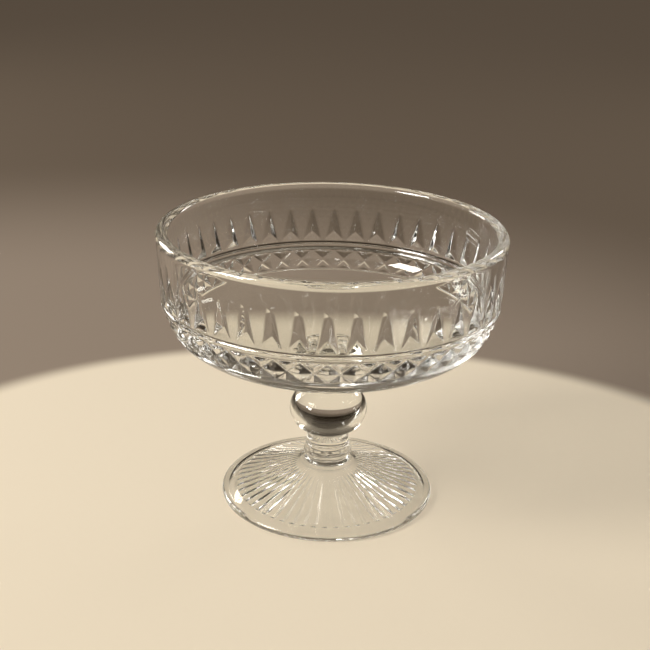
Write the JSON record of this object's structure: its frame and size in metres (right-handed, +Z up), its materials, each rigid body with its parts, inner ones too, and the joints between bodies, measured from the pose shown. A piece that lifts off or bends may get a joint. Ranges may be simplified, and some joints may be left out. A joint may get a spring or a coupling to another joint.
{
  "type": "dessert cup",
  "caption": "Footed dessert cup of clear pressed glass: wide bowl with mitre spikes and cut diamonds, ball-knop stem, round foot fluted underneath.",
  "frame": {"origin": "on the cup's axis, in the plane of the foot's standing ring", "axes": "+Z up along the cup's axis; -Y is the front, where one spike of the pattern is centred"},
  "size_m": [0.11, 0.11, 0.0926],
  "materials": {
    "bowl_glass": "clear fire-polished pressed glass",
    "stem_glass": "clear fire-polished solid glass",
    "foot_glass": "clear pressed glass, smooth above and fluted underneath"
  },
  "bodies": {
    "root": {"bowl": "bowl_glass", "upper_neck": "stem_glass", "knop": "stem_glass", "lower_neck": "stem_glass", "foot": "foot_glass"}
  },
  "joints": []
}
